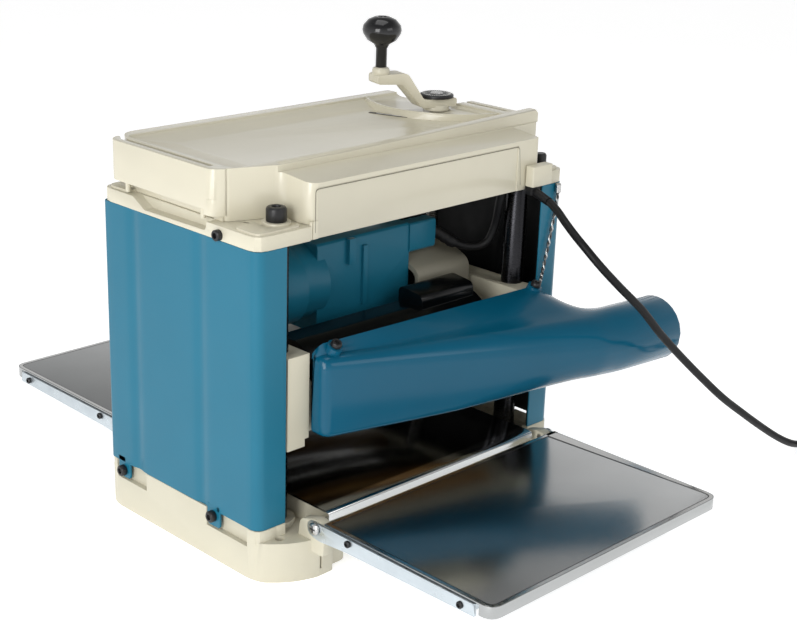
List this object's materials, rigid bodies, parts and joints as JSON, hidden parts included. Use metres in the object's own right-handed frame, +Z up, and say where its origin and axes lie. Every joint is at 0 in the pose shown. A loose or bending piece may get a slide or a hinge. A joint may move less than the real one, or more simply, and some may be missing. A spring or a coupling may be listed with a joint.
{
  "type": "thickness planer",
  "caption": "Portable thickness planer: a crank raises a cutter head over a flat bed with folding tables at each end, and a hood carries chips to a round dust outlet.",
  "frame": {"origin": "centre of the base's underside, on the surface it stands on", "axes": "+Z up; +X along the cutter and rollers towards the dust outlet; +Y towards the infeed side, so a board travels along -Y"},
  "size_m": [0.8313, 0.8205, 0.5034],
  "materials": {
    "cream_paint": "satin powder coat",
    "cover_blue": "satin paint on sheet steel",
    "gloss_blue": "gloss",
    "black_plastic": "fine grain",
    "steel": "ground",
    "mirror_steel": "polished sheet",
    "zinc_steel": "zinc plated",
    "roller_rubber": "amber brown",
    "cord_rubber": "matt",
    "brass": "machined",
    "dark_iron": "oiled"
  },
  "bodies": {
    "root": {"base_casting": "cream_paint", "bed_plate": "mirror_steel", "column_front_left": "steel", "column_front_right": "steel", "column_rear_left": "steel", "column_rear_right": "steel", "top_frame": "cream_paint", "top_cover": "cream_paint", "column_cap_front_left": "black_plastic", "column_cap_front_right": "black_plastic", "column_cap_rear_left": "black_plastic", "column_cap_rear_right": "black_plastic", "side_cover_left": "cover_blue", "side_cover_right": "cover_blue", "cover_screw_left_rear": "black_plastic", "cover_screw_left_front": "black_plastic", "cover_screw_right_rear": "black_plastic", "cover_screw_right_front": "black_plastic", "pivot_screw_front_left": "steel", "pivot_screw_front_right": "steel", "pivot_screw_rear_left": "steel", "pivot_screw_rear_right": "steel", "switch_box": "black_plastic", "cord_block": "cream_paint", "cord_guard": "cord_rubber", "power_cord": "cord_rubber", "power_cord_coil": "cord_rubber", "power_cord_tail": "cord_rubber", "power_plug": "cord_rubber", "hood_tether": "steel", "motor_lead": "cord_rubber"},
    "head": {"head_casting": "cream_paint", "lead_nut_left": "brass", "lead_nut_right": "brass", "motor_housing": "gloss_blue", "gear_case": "cream_paint", "chip_cover": "black_plastic", "dust_hood": "gloss_blue", "hood_screw_left": "black_plastic", "hood_screw_right": "black_plastic", "drive_belt": "cord_rubber", "roller_chain": "dark_iron"},
    "cutter": {"cutter_drum": "steel", "knife_upper": "mirror_steel", "knife_lower": "mirror_steel"},
    "motor": {"motor_rotor": "dark_iron"},
    "outfeed_roller": {"outfeed_roller_shaft": "steel", "outfeed_roller_sleeve": "roller_rubber"},
    "infeed_roller": {"infeed_roller_shaft": "steel", "infeed_roller_sleeve": "roller_rubber"},
    "crank": {"lead_screw_right": "steel", "crank_arm": "cream_paint", "crank_cap": "black_plastic"},
    "knob": {"crank_knob": "black_plastic"},
    "left_screw": {"lead_screw_left": "steel"},
    "outfeed_table": {"outfeed_table_plate": "mirror_steel", "outfeed_table_frame": "zinc_steel"},
    "infeed_table": {"infeed_table_plate": "mirror_steel", "infeed_table_frame": "zinc_steel"},
    "switch": {"switch_paddle": "black_plastic"}
  },
  "joints": [
    {"name": "crank_turn", "type": "hinge", "parent": "root", "child": "crank", "pos_m": [0.163, 0.024, 0.4], "axis": [0, 0, 1], "range_deg": [-16220, 11180]},
    {"name": "head_lift", "type": "slide", "parent": "root", "child": "head", "axis": [0, 0, 1], "range_m": [-0.062, 0.09], "deforming": ["hood_tether", "motor_lead"]},
    {"name": "left_screw_turn", "type": "hinge", "parent": "root", "child": "left_screw", "pos_m": [-0.163, 0.024, 0.2], "axis": [0, 0, 1], "range_deg": [-16220, 11180]},
    {"name": "knob_spin", "type": "hinge", "parent": "crank", "child": "knob", "pos_m": [0.09345, 0.04263, 0.45], "axis": [0, 0, 1], "continuous": true},
    {"name": "cutter_spin", "type": "hinge", "parent": "head", "child": "cutter", "pos_m": [0, 0, 0.1565], "axis": [1, 0, 0], "continuous": true},
    {"name": "motor_spin", "type": "hinge", "parent": "head", "child": "motor", "pos_m": [0, -0.01, 0.2545], "axis": [1, 0, 0], "continuous": true},
    {"name": "outfeed_roller_spin", "type": "hinge", "parent": "head", "child": "outfeed_roller", "pos_m": [0, -0.068, 0.15], "axis": [1, 0, 0], "continuous": true},
    {"name": "infeed_roller_spin", "type": "hinge", "parent": "head", "child": "infeed_roller", "pos_m": [0, 0.068, 0.15], "axis": [1, 0, 0], "continuous": true},
    {"name": "outfeed_table_fold", "type": "hinge", "parent": "root", "child": "outfeed_table", "pos_m": [0, -0.157, 0.059], "axis": [-1, 0, 0], "range_deg": [0, 6]},
    {"name": "infeed_table_fold", "type": "hinge", "parent": "root", "child": "infeed_table", "pos_m": [0, 0.157, 0.059], "axis": [1, 0, 0], "range_deg": [0, 90]},
    {"name": "switch_rock", "type": "hinge", "parent": "root", "child": "switch", "pos_m": [-0.097, 0.131, 0.369], "axis": [1, 0, 0], "range_deg": [0, 10]}
  ],
  "couplings": [
    {"joint": "crank_turn", "follows": "head_lift", "rad_per_m": -3141.6},
    {"joint": "left_screw_turn", "follows": "head_lift", "rad_per_m": -3141.6},
    {"joint": "motor_spin", "follows": "cutter_spin", "ratio": 1},
    {"joint": "outfeed_roller_spin", "follows": "cutter_spin", "ratio": -0.0084},
    {"joint": "infeed_roller_spin", "follows": "cutter_spin", "ratio": -0.0084}
  ]
}
